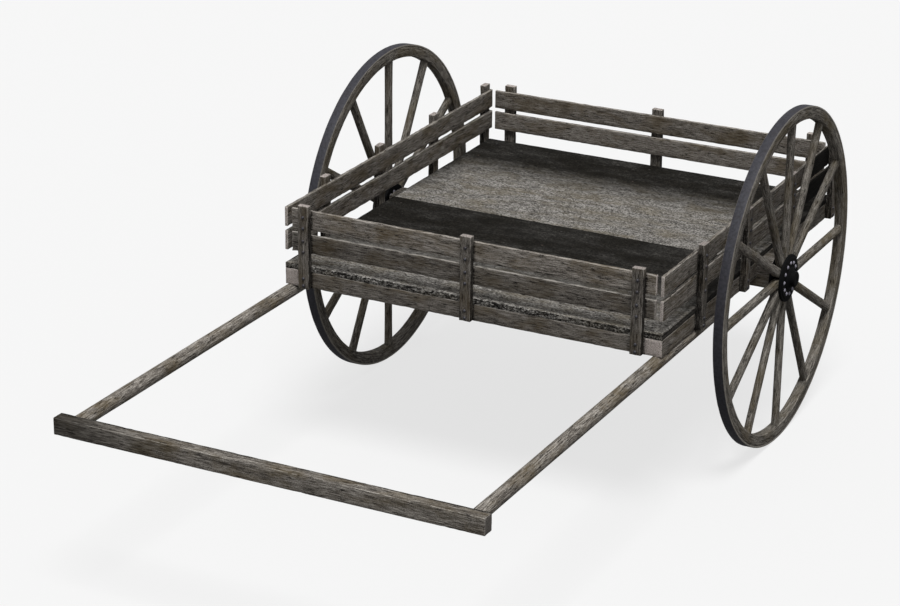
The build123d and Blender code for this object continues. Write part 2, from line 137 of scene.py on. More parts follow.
def woodFinish(name, wood):
    material, tree, shader = startMaterial(name)
    marks = {mark: addNode(tree, "ShaderNodeAttribute", {"attribute_name": mark})
             for mark in ("grain", "wear", "shadeAndGrime", "tintAndPaintedLight", "endGrain", "paintedShadeDepth")}
    line, run = wood["line"], wood["run"]
    # run along the grain and width across it of each pattern, then its detail
    patterns = {
        "fibre": (run, line, line, 5),
        "band": (run * 6, line * 5, line * 7, 3),
        "checks": (run * 0.7, line, line, 3),
        "blotch": (0.16, 0.07, 0.07, 3),
        "speckle": (line, line * 0.7, line * 0.7, 2),
    }
    pattern = {}
    for key, (along, across, deep, detail) in patterns.items():
        scaled = addNode(tree, "ShaderNodeMapping", None, {
            "Vector": marks["grain"].outputs["Vector"], "Scale": (1 / along, 1 / across, 1 / deep)})
        pattern[key] = addNode(tree, "ShaderNodeTexNoise", None, {
            "Vector": scaled.outputs[0], "Scale": 1.0, "Detail": detail, "Roughness": 0.62,
            "Distortion": 0.35}).outputs["Fac"]

    # tone of the wood: fine fibre lines on broad bands
    fibreShare = addNode(tree, "ShaderNodeMath", {"operation": "MULTIPLY"}, {
        0: pattern["fibre"], 1: wood["fibre"]})
    bandShare = addNode(tree, "ShaderNodeMath", {"operation": "MULTIPLY_ADD"}, {
        0: pattern["band"], 1: wood["band"], 2: fibreShare.outputs[0]})
    tone = addNode(tree, "ShaderNodeMath", {"operation": "MULTIPLY_ADD"}, {
        0: pattern["speckle"], 1: wood["speckle"], 2: bandShare.outputs[0]})
    colour = addNode(tree, "ShaderNodeValToRGB", None, {"Fac": tone.outputs[0]}, [
        (0.39, linear(wood["dark"])), (0.49, linear(wood["mid"])), (0.6, linear(wood["light"]))])

    stainMask = addNode(tree, "ShaderNodeMapRange", None, {
        "Value": pattern["blotch"], "From Min": 0.46, "From Max": 0.66, "To Max": wood["stainAmount"]})
    stained = addNode(tree, "ShaderNodeMixRGB", {"blend_type": "MIX"}, {
        "Fac": stainMask.outputs[0], "Color1": colour.outputs[0], "Color2": linear(wood["stain"])})

    # sawn ends take the weather differently: paler and without lines
    endTone = addNode(tree, "ShaderNodeValToRGB", None, {"Fac": pattern["speckle"]}, [
        (0.35, linear(wood["mid"])), (0.6, linear(wood["end"]))])
    ended = addNode(tree, "ShaderNodeMixRGB", None, {
        "Fac": marks["endGrain"].outputs["Fac"], "Color1": stained.outputs[0],
        "Color2": endTone.outputs[0]})

    # rubbed edges, broken up by the fibre
    wearTop = addNode(tree, "ShaderNodeMath", {"operation": "MULTIPLY"}, {
        0: marks["wear"].outputs["Fac"], 1: tone.outputs[0]})
    wearMask = addNode(tree, "ShaderNodeMapRange", None, {
        "Value": wearTop.outputs[0], "From Min": 0.32, "From Max": 0.58, "To Max": 0.75})
    worn = addNode(tree, "ShaderNodeMixRGB", None, {
        "Fac": wearMask.outputs[0], "Color1": ended.outputs[0], "Color2": linear(wood["worn"])})

    checkMask = addNode(tree, "ShaderNodeMapRange", None, {
        "Value": pattern["checks"], "From Min": 0.59, "From Max": 0.65, "To Max": 0.9})
    checked = addNode(tree, "ShaderNodeMixRGB", None, {
        "Fac": checkMask.outputs[0], "Color1": worn.outputs[0], "Color2": linear(wood["check"])})

    # painted shade beside the posts, on their narrow sides and along the deck's rim and edges, and moss
    # on the crossbar's rear edge; with painted shade over each half of the deck, behind the right wheel
    # and towards the crossbar's left end
    shadeWithBlotch = addNode(tree, "ShaderNodeMath", {"operation": "MULTIPLY_ADD"}, {
        0: pattern["blotch"], 1: 0.6, 2: marks["paintedShadeDepth"].outputs["Fac"]})
    shadeWithSpeckle = addNode(tree, "ShaderNodeMath", {"operation": "MULTIPLY_ADD"}, {
        0: pattern["speckle"], 1: 1.3, 2: shadeWithBlotch.outputs[0]})
    paintedShade = addNode(tree, "ShaderNodeMapRange", None, {
        "Value": shadeWithSpeckle.outputs[0], "From Min": 1.05, "From Max": 2.08, "To Max": 1.0})
    thinned = addNode(tree, "ShaderNodeMath", {"operation": "MULTIPLY_ADD"}, {
        0: tone.outputs[0], 1: -5.0, 2: 3.5})
    brokenShadeAndGrime = addNode(tree, "ShaderNodeMath", {"operation": "MULTIPLY"}, {
        0: marks["shadeAndGrime"].outputs["Fac"], 1: thinned.outputs[0]})
    shadeAndGrimeMask = addNode(tree, "ShaderNodeMapRange", None, {
        "Value": brokenShadeAndGrime.outputs[0], "From Min": 0.2, "From Max": 1.0, "To Max": 0.95})
    shadeAndDirt = addNode(tree, "ShaderNodeMath", {"operation": "MAXIMUM"}, {
        0: shadeAndGrimeMask.outputs[0], 1: paintedShade.outputs[0]})
    shadeAndDirtColour = addNode(tree, "ShaderNodeMixRGB", None, {
        "Fac": shadeAndDirt.outputs[0], "Color1": (1, 1, 1, 1), "Color2": linear("2a2823")})
    shadedAndSoiled = addNode(tree, "ShaderNodeMixRGB", {"blend_type": "MULTIPLY"}, {
        "Fac": 1.0, "Color1": checked.outputs[0], "Color2": shadeAndDirtColour.outputs[0]})

    # each piece's tone, which is partly painted light and shade, scales its colour
    shade = addNode(tree, "ShaderNodeMapRange", None, {
        "Value": marks["tintAndPaintedLight"].outputs["Fac"], "To Min": 0.7, "To Max": 1.3})
    final = addNode(tree, "ShaderNodeMixRGB", {"blend_type": "MULTIPLY"}, {
        "Fac": 1.0, "Color1": shadedAndSoiled.outputs[0], "Color2": shade.outputs[0]})
    tree.links.new(final.outputs[0], shader.inputs["Base Color"])

    relief = addNode(tree, "ShaderNodeMath", {"operation": "MULTIPLY_ADD"}, {
        0: checkMask.outputs[0], 1: -0.9, 2: tone.outputs[0]})
    bump = addNode(tree, "ShaderNodeBump", None, {
        "Height": relief.outputs[0], "Strength": 0.7, "Distance": 0.004})
    tree.links.new(bump.outputs[0], shader.inputs["Normal"])
    rough = addNode(tree, "ShaderNodeMapRange", None, {
        "Value": pattern["fibre"], "To Min": 0.95, "To Max": 0.72})
    tree.links.new(rough.outputs[0], shader.inputs["Roughness"])
    shader.inputs["Specular IOR Level"].default_value = 0.1
    return material


# Iron and steel parts. Object coordinates, in metres.
irons = {
    # rolled tyre iron, dulled blue-grey by the road, with dark scale left in its pits
    "rolledTyreIron": {
        "base": "323239", "mottle": "202026", "rust": "2f2824", "worn": "8d877d",
        "metallic": 0.1, "roughness": 0.62, "grit": 0.009, "rustAmount": 0.2, "relief": 0.0008,
    },
    # cast iron under black paint, dull and slightly gritty from the sand mould
    "blackCastIron": {
        "specular": 0.08, "base": "070708", "mottle": "0c0c0d", "rust": "110f0d", "worn": "19191a",
        "metallic": 0.0, "roughness": 0.78, "grit": 0.004, "rustAmount": 0.2, "relief": 0.0005,
    },
    # forged axle iron, brown with old rust
    "rustedAxleIron": {
        "base": "2f2c2b", "mottle": "1d1b1a", "rust": "4d3526", "worn": "6b6663",
        "metallic": 0.4, "roughness": 0.62, "grit": 0.006, "rustAmount": 0.6, "relief": 0.0006,
    },
    # zinc-plated bolt heads, pale with a faint blue cast
    "zincPlatedBolt": {
        "base": "918e99", "mottle": "6f6c77", "rust": "6b625c", "worn": "a5a2ad",
        "metallic": 0.1, "roughness": 0.5, "grit": 0.003, "rustAmount": 0.1, "relief": 0.0002,
    },
    # domed screw heads gone dark grey
    "dulledScrewSteel": {
        "base": "3f3e43", "mottle": "2a292d", "rust": "3a302a", "worn": "6a686e",
        "metallic": 0.3, "roughness": 0.45, "grit": 0.004, "rustAmount": 0.35, "relief": 0.0002,
    },
}


def ironFinish(name, iron):
    material, tree, shader = startMaterial(name)
    place = addNode(tree, "ShaderNodeTexCoord").outputs["Object"]
    wear = addNode(tree, "ShaderNodeAttribute", {"attribute_name": "wear"}).outputs["Fac"]
    grit = addNode(tree, "ShaderNodeTexNoise", None, {
        "Vector": place, "Scale": 1 / iron["grit"], "Detail": 5.0, "Roughness": 0.6}).outputs["Fac"]
    cloud = addNode(tree, "ShaderNodeTexNoise", None, {
        "Vector": place, "Scale": 1 / 0.06, "Detail": 4.0, "Roughness": 0.6}).outputs["Fac"]
    mottled = addNode(tree, "ShaderNodeValToRGB", None, {"Fac": grit}, [
        (0.35, linear(iron["mottle"])), (0.6, linear(iron["base"]))])
    rustMask = addNode(tree, "ShaderNodeMapRange", None, {
        "Value": cloud, "From Min": 0.48, "From Max": 0.66, "To Max": iron["rustAmount"]})
    rusted = addNode(tree, "ShaderNodeMixRGB", None, {
        "Fac": rustMask.outputs[0], "Color1": mottled.outputs[0], "Color2": linear(iron["rust"])})
    wearMask = addNode(tree, "ShaderNodeMath", {"operation": "MULTIPLY"}, {0: wear, 1: grit})
    worn = addNode(tree, "ShaderNodeMixRGB", None, {
        "Fac": wearMask.outputs[0], "Color1": rusted.outputs[0], "Color2": linear(iron["worn"])})
    tree.links.new(worn.outputs[0], shader.inputs["Base Color"])
    shader.inputs["Metallic"].default_value = iron["metallic"]
    shader.inputs["Specular IOR Level"].default_value = iron.get("specular", 0.4)
    rough = addNode(tree, "ShaderNodeMapRange", None, {
        "Value": cloud, "To Min": iron["roughness"] - 0.12, "To Max": iron["roughness"] + 0.2})
    tree.links.new(rough.outputs[0], shader.inputs["Roughness"])
    bump = addNode(tree, "ShaderNodeBump", None, {
        "Height": grit, "Strength": 0.6, "Distance": iron["relief"]})
    tree.links.new(bump.outputs[0], shader.inputs["Normal"])
    return material


finishes = {name: woodFinish(name, wood) for name, wood in woods.items()}
finishes.update({name: ironFinish(name, iron) for name, iron in irons.items()})
print("finishes made", len(finishes))


# The layers that the wood and iron read, by name.
def addMarks(bm):
    layers = {"grain": bm.verts.layers.float_vector.new("grain")}
    for mark in ("wear", "shadeAndGrime", "tintAndPaintedLight", "endGrain", "paintedShadeDepth"):
        layers[mark] = bm.verts.layers.float.new(mark)
    return layers


sharpFrom = 0.9  # radians; edges bent further than this are shaded as edges


def makePiece(name, bm, finish, body, nodes):
    bmesh.ops.recalc_face_normals(bm, faces=bm.faces)
    for face in bm.faces:
        face.smooth = True
    for edge in bm.edges:
        edge.smooth = edge.calc_face_angle(0) < sharpFrom
    mesh = bpy.data.meshes.new(name)
    bm.to_mesh(mesh)
    bm.free()
    mesh.materials.append(finishes[finish])
    piece = bpy.data.objects.new(name, mesh)
    bpy.context.scene.collection.objects.link(piece)
    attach(piece, body)
    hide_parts(*nodes)
    return piece


# Smooth noise from about -1 to 1 with waves of the given size.
def roughness(point, size, seed):
    return noise.noise(Vector(point) / size + Vector((seed, seed * 0.7, -seed)))


# Weathers a surface by moving it inwards only: long waves, and nibbled edges where wear is 1.
def pullIn(bm, wear, seed, settings):
    bm.normal_update()
    for vert in bm.verts:
        wave = 0.5 + 0.5 * roughness(vert.co, settings["waveSize"], seed)
        nibble = max(0.0, roughness(vert.co, settings["chipSize"], seed + 5)) * vert[wear]
        vert.co -= vert.normal * (settings["wave"] * wave + settings["chip"] * nibble)


board = {
    "rounding": 0.0018,
    "step": 0.016,  # between two cuts along the grain
    "crossStep": 0.011,
    "wave": 0.0004, "waveSize": 0.09,
    "chip": 0.0024, "chipSize": 0.02,
    "wearReach": 0.006,
    "topWear": 0.55,
}
deckBoard = {**board, "crossStep": 0.03, "step": 0.03, "wearReach": 0.0008}
postBoard = {**board, "step": 0.012, "crossStep": 0.008}
crossbarBoard = {**board, "rounding": 0.003}
splinteredBoard = {**board, "wearReach": 0.011, "chip": 0.006, "chipSize": 0.03, "topWear": 1.1}


# A notch between two places along one axis, down (or up) to a level on another.
def cutNotch(bm, along, start, end, axis, level, fromAbove):
    for place, outwards in ((start, -1), (end, 1)):
        for shift in (0, 0.0004 * outwards):
            normal = Vector([1.0 if n == along else 0.0 for n in range(3)])
            bmesh.ops.bisect_plane(bm, geom=bm.verts[:] + bm.edges[:] + bm.faces[:], dist=1e-6,
                                   plane_co=normal * (place + shift), plane_no=normal)
    for vert in bm.verts:
        if start - 1e-5 < vert.co[along] < end + 1e-5:
            vert.co[axis] = min(vert.co[axis], level) if fromAbove else max(vert.co[axis], level)


# how light or dark single pieces are painted, from 0 to 1: partly their weathered tone, partly painted
# light and shade for how brightly each piece is lit; the others are picked at random
tonesAndPaintedLight = {
    "front_upper_slat": 0.95, "front_lower_slat": 0.15, "front_sill": 0.36, "right_1_post": 0.0,
    "front_left_post": 0.35, "front_centre_post": 0.15, "front_right_post": 0.05,
    "rear_upper_slat": 0.78, "rear_lower_slat": 0.95, "left_upper_slat": 0.55, "left_lower_slat": 0.52,
    "right_upper_slat": 0.6, "right_lower_slat": 0.55, "right_side_sill": 0.55, "left_side_sill": 0.5,
    "crossbar": 0.45,
}


# A board in the place of a CAD node, with its grain along axis 0, 1 or 2.
def weatheredBoard(node, along, finish, settings=board, shadeAndGrimeAt=None, paintedShadeAt=None,
                   notches=(), ends=None, lightest=0.65, cuts=()):
    low, high = (Vector(corner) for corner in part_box(node))
    if ends:  # without the tenons
        low[along], high[along] = ends
    size, middle = high - low, (high + low) / 2
    rounding = settings["rounding"]
    pick = random.Random(node)
    seed, tintAndPaintedLight = pick.uniform(0, 50), pick.uniform(lightest - 0.3, lightest)
    tintAndPaintedLight = tonesAndPaintedLight.get(node, tintAndPaintedLight)
    bm = bmesh.new()
    bmesh.ops.create_cube(bm, size=1)
    bmesh.ops.scale(bm, vec=size, verts=bm.verts)
    bmesh.ops.translate(bm, vec=middle, verts=bm.verts)
    bmesh.ops.bevel(bm, geom=bm.edges[:], offset=rounding, segments=2, profile=0.5,
                    affect="EDGES", material=-1)
    for axis in (along, (along + 1) % 3, (along + 2) % 3):
        step = settings["step"] if axis == along else settings["crossStep"]
        count = int((size[axis] - 2 * rounding) / step)
        if count < 1:
            continue
        wanted = (size[axis] - 2 * rounding) * 0.98
        edges = [edge for edge in bm.edges
                 if abs(edge.verts[0].co[axis] - edge.verts[1].co[axis]) > wanted]
        bmesh.ops.subdivide_edges(bm, edges=edges, cuts=count, use_grid_fill=True)
    for axis, place in cuts:
        normal = Vector([1.0 if n == axis else 0.0 for n in range(3)])
        bmesh.ops.bisect_plane(bm, geom=bm.verts[:] + bm.edges[:] + bm.faces[:], dist=1e-6,
                               plane_co=normal * place, plane_no=normal)
    layers = addMarks(bm)
    order = (along, (along + 1) % 3, (along + 2) % 3)
    for vert in bm.verts:
        fromSides = [min(vert.co[axis] - low[axis], high[axis] - vert.co[axis]) for axis in range(3)]
        nearest = sorted(fromSides)
        vert[layers["grain"]] = Vector([vert.co[axis] + seed for axis in order])
        vert[layers["wear"]] = max(0.0, 1 - nearest[1] / settings["wearReach"])
        if high.z - vert.co.z < rounding * 0.5:
            vert[layers["wear"]] = max(vert[layers["wear"]], settings["topWear"])
        vert[layers["endGrain"]] = 1.0 if fromSides[along] < rounding * 0.4 else 0.0
        vert[layers["tintAndPaintedLight"]] = tintAndPaintedLight
        vert[layers["shadeAndGrime"]] = shadeAndGrimeAt(vert.co) if shadeAndGrimeAt else 0.0
        vert[layers["paintedShadeDepth"]] = paintedShadeAt(vert.co) if paintedShadeAt else 0.0
    pullIn(bm, layers["wear"], seed, settings)
    for notch in notches:
        cutNotch(bm, *notch)
    return makePiece(f"{node}_wood", bm, finish, "cart", [node])


deckLow, deckHigh = Vector(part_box("deck_board_1")[0]), Vector(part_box("deck_board_6")[1])
deckTop = deckHigh.z
postsOn = {end: [f"{end}_{place}_post" for place in ("left", "centre", "right")]
           for end in ("front", "rear")}
postsOn.update({side: [f"{side}_{number}_post" for number in (1, 2, 3, 4)]
                for side in ("left", "right")})
postNames = [name for names in postsOn.values() for name in names]
postBoxes = {name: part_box(name) for name in postNames}

# painted shade beside and on the posts and along the deck's edges; moss on the crossbar's rear edge
shadeAndGrime = {
    "reach": 0.009,  # on the slats and sills, beside a post
    "postSide": 0.8, "postClean": 0.004,  # the painted shade on a post stops this far below the fence's top
    "crossbarRim": 0.75, "crossbarReach": 0.009,
    "skin": 0.001,  # how near a face a point counts as on it
    "deckRim": 0.95, "deckRimReach": 0.012,
    "deckSide": 0.65, "deckSideMore": 0.45, "deckSideReach": 0.009,
}
deckMiddle = deckTop - shadeAndGrime["deckSideReach"]  # above this the painted shade on the deck's outer edges deepens towards the top


# Painted shade on the outer face of a slat or sill, right beside its posts.
def shadeBesidePosts(point):
    most = 0.0
    for low, high in postBoxes.values():
        gaps = [max(low[axis] - point[axis], 0, point[axis] - high[axis]) for axis in range(3)]
        most = max(most, 1 - math.sqrt(sum(gap * gap for gap in gaps)) / shadeAndGrime["reach"])
    return most


# Cuts across a board at the edges of each post on it, so that the painted shade ends where it should.
def cutsAtPosts(along, names):
    places = set()
    for name in names:
        for edge, outwards in ((postBoxes[name][0][along], -1), (postBoxes[name][1][along], 1)):
            places.update((edge, edge + outwards * shadeAndGrime["reach"]))
    return [(along, place) for place in sorted(places)]


# Painted shade on the narrow sides of a post, below the fence's top.
def shadeOnPost(name):
    low, high = postBoxes[name]
    across = 0 if name.split("_")[0] in ("front", "rear") else 1
    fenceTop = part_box("front_upper_slat")[1][2]

    def depthAt(point):
        if point.z > fenceTop - shadeAndGrime["postClean"]:
            return 0.0
        fromSide = min(point[across] - low[across], high[across] - point[across])
        return shadeAndGrime["postSide"] if fromSide < shadeAndGrime["skin"] else 0.0
    return depthAt


# Moss along the rear top edge of the crossbar.
def onCrossbar(point):
    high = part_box("crossbar")[1]
    onTop = point.z > high[2] - shadeAndGrime["skin"]
    return shadeAndGrime["crossbarRim"] if onTop and point.y > high[1] - shadeAndGrime["crossbarReach"] else 0.0


crossbarPaintedShade = {"from": -0.25, "over": 0.4, "depth": 0.75}


# Painted shade: the crossbar is painted darker towards its left end.
def crossbarShadeAt(point):
    share = (crossbarPaintedShade["from"] - point.x) / crossbarPaintedShade["over"]
    return crossbarPaintedShade["depth"] * min(1.0, max(0.0, share))


# painted shade: the hindmost stretch of the right fence's outer side, behind the wheel, is painted nearly
# black
behindWheelShade = {"from": 1.08, "to": 1.2, "depth": 1.3, "skin": 0.002}


def behindWheelShadeAt(point):
    share = (point.y - behindWheelShade["from"]) / (behindWheelShade["to"] - behindWheelShade["from"])
    return behindWheelShade["depth"] * min(1.0, max(0.0, share)) if point.x > deckHigh.x - behindWheelShade["skin"] else 0.0


# painted shade on the deck: where each half of the deck turns from pale to dark, as shares of the half
# from its front; it darkens along its sides too
deckPaintedShade = {
    "paleUntil": (0.1, 0.42), "darkFrom": (0.55, 0.74),
    "sideReach": 0.13, "depth": 1.06, "topSkin": 0.0015,
    "inset": 0.995,  # keeps a point on the seam in its own board's half
}


def deckShadeAt(point):
    half = (deckHigh.y - deckLow.y) / 2
    number = 0 if point.y < deckLow.y + half else 1
    share = (point.y - deckLow.y - number * half) / half
    pale, dark = deckPaintedShade["paleUntil"][number], deckPaintedShade["darkFrom"][number]
    fromSide = deckHigh.x - abs(point.x)
    sideFade = (1 - fromSide / deckPaintedShade["sideReach"]) * min(1.0, share * 2)
    return deckPaintedShade["depth"] * min(1.0, max(0.0, (share - pale) / (dark - pale), sideFade))


# Painted shade on the deck's outer edges and along the rim of its top.
def deckEdgeShade(point):
    if point.z < deckTop - deckPaintedShade["topSkin"]:
        share = (point.z - deckMiddle) / (deckTop - deckMiddle)
        return shadeAndGrime["deckSide"] + shadeAndGrime["deckSideMore"] * max(0.0, share)
    fromRim = min(deckHigh.x - abs(point.x), point.y - deckLow.y, deckHigh.y - point.y)
    return max(0.0, shadeAndGrime["deckRim"] * (1 - fromRim / shadeAndGrime["deckRimReach"]))


sillFront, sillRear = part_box("front_sill")[1][1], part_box("rear_sill")[0][1]
sillLeft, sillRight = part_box("left_side_sill")[1][0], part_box("right_side_sill")[0][0]
sillTop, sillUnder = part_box("front_sill")[1][2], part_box("front_sill")[0][2]
lapLevel = (sillTop + sillUnder) / 2
beamLow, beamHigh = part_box("axle_beam")
lap = (1, beamLow[1], beamHigh[1], 2, lapLevel, False)  # the sills' notches over the beam

rimReach = shadeAndGrime["deckRimReach"]
rimCuts = [(2, deckMiddle), (0, deckLow.x + rimReach), (0, deckHigh.x - rimReach),
           (1, deckLow.y + rimReach), (1, deckHigh.y - rimReach)]


# painted shade for one deck board, kept to the half of the deck it lies in
def boardShadeAt(middleY):
    def depthAt(point):
        inside = middleY + (point.y - middleY) * deckPaintedShade["inset"]
        return deckShadeAt(Vector((point.x, inside, point.z)))
    return depthAt


for number in range(1, 7):
    boardLow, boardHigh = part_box(f"deck_board_{number}")
    weatheredBoard(f"deck_board_{number}", 0, "sawnDeckPine", deckBoard,
                   shadeAndGrimeAt=deckEdgeShade, cuts=rimCuts, paintedShadeAt=boardShadeAt((boardLow[1] + boardHigh[1]) / 2))
for end in ("front", "rear"):
    cuts = cutsAtPosts(0, postsOn[end])
    for level in ("lower", "upper"):
        node = f"{end}_{level}_slat"
        weatheredBoard(node, 0, "weatheredFrameOak",
                       splinteredBoard if node == "front_lower_slat" else board,
                       shadeAndGrimeAt=shadeBesidePosts, cuts=cuts)
    weatheredBoard(f"{end}_sill", 0, "weatheredFrameOak", shadeAndGrimeAt=shadeBesidePosts, cuts=cuts,
                   ends=(sillLeft, sillRight))
for side in ("left", "right"):
    cuts = cutsAtPosts(1, postsOn[side])
    for level in ("lower", "upper"):
        weatheredBoard(f"{side}_{level}_slat", 1, "weatheredFrameOak",
                       shadeAndGrimeAt=shadeBesidePosts, paintedShadeAt=behindWheelShadeAt, cuts=cuts)
    weatheredBoard(f"{side}_side_sill", 1, "weatheredFrameOak", shadeAndGrimeAt=shadeBesidePosts,
                   cuts=cuts, notches=[lap])
weatheredBoard("centre_sill", 1, "weatheredFrameOak", ends=(sillFront, sillRear),
               notches=[lap])
for name in postNames:
    weatheredBoard(name, 2, "weatheredFrameOak", postBoard,
                   shadeAndGrimeAt=shadeOnPost(name), lightest=0.45)

# the beam is notched round the three lengthwise sills, and grooved below for the axle's bar
groove = {"height": 0.053, "halfWidth": 0.0202}
barHigh = beamLow[2] + groove["height"]
beamNotches = [(0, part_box(node)[0][0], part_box(node)[1][0], 2, lapLevel, True)
               for node in ("left_side_sill", "centre_sill", "right_side_sill")]
beamMiddle = (beamLow[1] + beamHigh[1]) / 2
beamNotches.append((1, beamMiddle - groove["halfWidth"], beamMiddle + groove["halfWidth"],
                    2, barHigh, False))
weatheredBoard("axle_beam", 0, "weatheredFrameOak", notches=beamNotches, lightest=0.5)
weatheredBoard("crossbar", 0, "darkHandleAsh", crossbarBoard,
               shadeAndGrimeAt=onCrossbar, paintedShadeAt=crossbarShadeAt,
               cuts=[(1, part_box("crossbar")[1][1] - shadeAndGrime["crossbarReach"])])
print("boards made")


shaft = {
    "sides": 28, "step": 0.02, "wave": 0.001, "waveSize": 0.12, "chip": 0.0, "chipSize": 0.02,
    "topWear": 0.45, "flatStep": 0.0005,
}


def roundShaft(side):
    node = f"{side}_shaft"
    low, high = (Vector(corner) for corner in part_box(node))
    barRear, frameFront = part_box("crossbar")[1][1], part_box("front_sill")[0][1]
    radius = (high.x - low.x) / 2
    length = high.y - barRear
    pick = random.Random(node)
    seed, tintAndPaintedLight = pick.uniform(0, 50), pick.uniform(0.7, 0.9)
    bm = bmesh.new()
    bmesh.ops.create_cone(bm, cap_ends=True, segments=shaft["sides"],
                          radius1=radius, radius2=radius, depth=length)
    bmesh.ops.rotate(bm, cent=(0, 0, 0), matrix=Matrix.Rotation(-math.pi / 2, 3, "X"), verts=bm.verts)
    middle = Vector(((low.x + high.x) / 2, barRear + length / 2, low.z + radius))
    bmesh.ops.translate(bm, vec=middle, verts=bm.verts)
    edges = [edge for edge in bm.edges if abs(edge.verts[0].co.y - edge.verts[1].co.y) > length * 0.9]
    bmesh.ops.subdivide_edges(bm, edges=edges, cuts=int(length / shaft["step"]), use_grid_fill=True)
    # the flat where the shaft lies under the sill starts at the sill's front face
    for y in (frameFront - shaft["flatStep"], frameFront + shaft["flatStep"]):
        bmesh.ops.bisect_plane(bm, geom=bm.verts[:] + bm.edges[:] + bm.faces[:], dist=1e-6,
                               plane_co=(0, y, 0), plane_no=(0, 1, 0))
    layers = addMarks(bm)
    for vert in bm.verts:
        turn = math.atan2(vert.co.z - middle.z, vert.co.x - middle.x)
        vert[layers["grain"]] = Vector((vert.co.y + seed, turn * radius, 0.2 * (vert.co.z - middle.z)))
        vert[layers["wear"]] = shaft["topWear"] if vert.co.z > middle.z + radius * 0.5 else 0.0
        vert[layers["tintAndPaintedLight"]] = tintAndPaintedLight
    pullIn(bm, layers["wear"], seed, shaft)
    for vert in bm.verts:
        if vert.co.y > frameFront:
            vert.co.z = min(vert.co.z, sillUnder)
    return makePiece(f"{node}_wood", bm, "darkHandleAsh", "cart", [node])


for side in ("left", "right"):
    roundShaft(side)
print("shafts made")


wheel = {
    "spokes": 12, "felloes": 6, "wearReach": 0.005,
    "firstJoint": -75,  # degrees, half a spoke pitch from the rearward spoke
    "felloeDepth": 0.038, "felloeGap": 0.0002, "felloeRounding": 0.0025, "felloeSteps": 26,
    "seamAhead": 0.1,  # radians from a felloe's end to where its grain starts
    "spokeRings": 34, "spokeSides": 24,
    "wave": 0.0005, "waveSize": 0.05, "chip": 0.0014, "chipSize": 0.02,
}
tyreIron = {
    "rounding": 0.0022, "steps": 180, "gap": 0.0002, "edgeReach": 0.0012, "edgeWear": 1.6,
    "wave": 0.0004, "waveSize": 0.03, "chip": 0.0008, "chipSize": 0.015,
}
hubIron = {
    "rounding": 0.0016, "steps": 72, "wearReach": 0.004,
    "naveGap": 0.0001,
    "bossWidth": 0.011, "bossHeight": 0.003, "bossSlope": 0.0022,  # of the outer flange
    "seat": 0.0301, "nose": 0.027, "noseWall": 0.003, "seatDepth": 0.0061,  # of the hub cap
}


def hubCentre(side):
    low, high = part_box(f"{side}_tyre")
    return Vector([(a + b) / 2 for a, b in zip(low, high)])


# A closed outline in the XZ plane through (x, radius) corners, with every corner rounded.
def ringProfile(bm, corners, rounding):
    verts = [bm.verts.new((x, 0, radius)) for x, radius in corners]
    for start, end in zip(verts, verts[1:] + verts[:1]):
        bm.edges.new((start, end))
    if rounding:
        bmesh.ops.bevel(bm, geom=verts, offset=rounding, segments=3, profile=0.5,
                        affect="VERTICES", material=-1)


# The outline spun about the X axis: a whole ring, or a length of one with closed ends.
def spunRing(corners, rounding, steps, turn=2 * math.pi):
    bm = bmesh.new()
    ringProfile(bm, corners, rounding)
    whole = turn == 2 * math.pi
    if not whole:
        bmesh.ops.contextual_create(bm, geom=bm.edges[:])
    bmesh.ops.spin(bm, geom=bm.verts[:] + bm.edges[:] + bm.faces[:], cent=(0, 0, 0), axis=(1, 0, 0),
                   angle=turn, steps=steps, use_merge=whole, use_duplicate=False)
    bmesh.ops.remove_doubles(bm, verts=bm.verts, dist=1e-6)
    return bm


# Grain follows the curve of the rim; the edges of the section are worn.
def markWheel(bm, low, high, seed, tintAndPaintedLight, outerRadius, innerRadius, seam=0.0):
    layers = addMarks(bm)
    for vert in bm.verts:
        radius = math.hypot(vert.co.y, vert.co.z)
        turn = (math.atan2(vert.co.z, vert.co.y) - seam) % (2 * math.pi)
        fromFaces = min(vert.co.x - low, high - vert.co.x)
        fromEdges = min(outerRadius - radius, radius - innerRadius)
        vert[layers["grain"]] = Vector((turn * outerRadius + seed, radius, vert.co.x + seed))
        vert[layers["wear"]] = max(0.0, 1 - max(fromFaces, fromEdges) / wheel["wearReach"])
        vert[layers["tintAndPaintedLight"]] = tintAndPaintedLight
    return layers


def placeWheelPart(bm, centre):
    bmesh.ops.translate(bm, vec=centre, verts=bm.verts)


# Adds the part's mesh to bm.
def joinInto(bm, part):
    helper = bpy.data.meshes.new("helper")
    part.to_mesh(helper)
    part.free()
    bm.from_mesh(helper)
    bpy.data.meshes.remove(helper)


def makeTyre(side, centre):
    node = f"{side}_tyre"
    low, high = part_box(node)
    outer = (high[2] - low[2]) / 2
    felloeLow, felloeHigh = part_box(f"{side}_felloes")
    inner = (felloeHigh[2] - felloeLow[2]) / 2 + tyreIron["gap"]
    left, right = low[0] - centre.x, high[0] - centre.x
    bm = spunRing([(left, inner), (right, inner), (right, outer), (left, outer)],
                  tyreIron["rounding"], tyreIron["steps"])
    layers = markWheel(bm, left, right, 0, 0.5, outer, inner)
    pullIn(bm, layers["wear"], 3.0, tyreIron)
    for vert in bm.verts:  # the narrow sides of the tyre are rubbed bare and muddy
        fromFaces = min(vert.co.x - left, right - vert.co.x)
        vert[layers["wear"]] = max(0.0, tyreIron["edgeWear"] - fromFaces / tyreIron["edgeReach"])
    placeWheelPart(bm, centre)
    makePiece(f"{node}_iron", bm, "rolledTyreIron", f"{side}_wheel", [node])


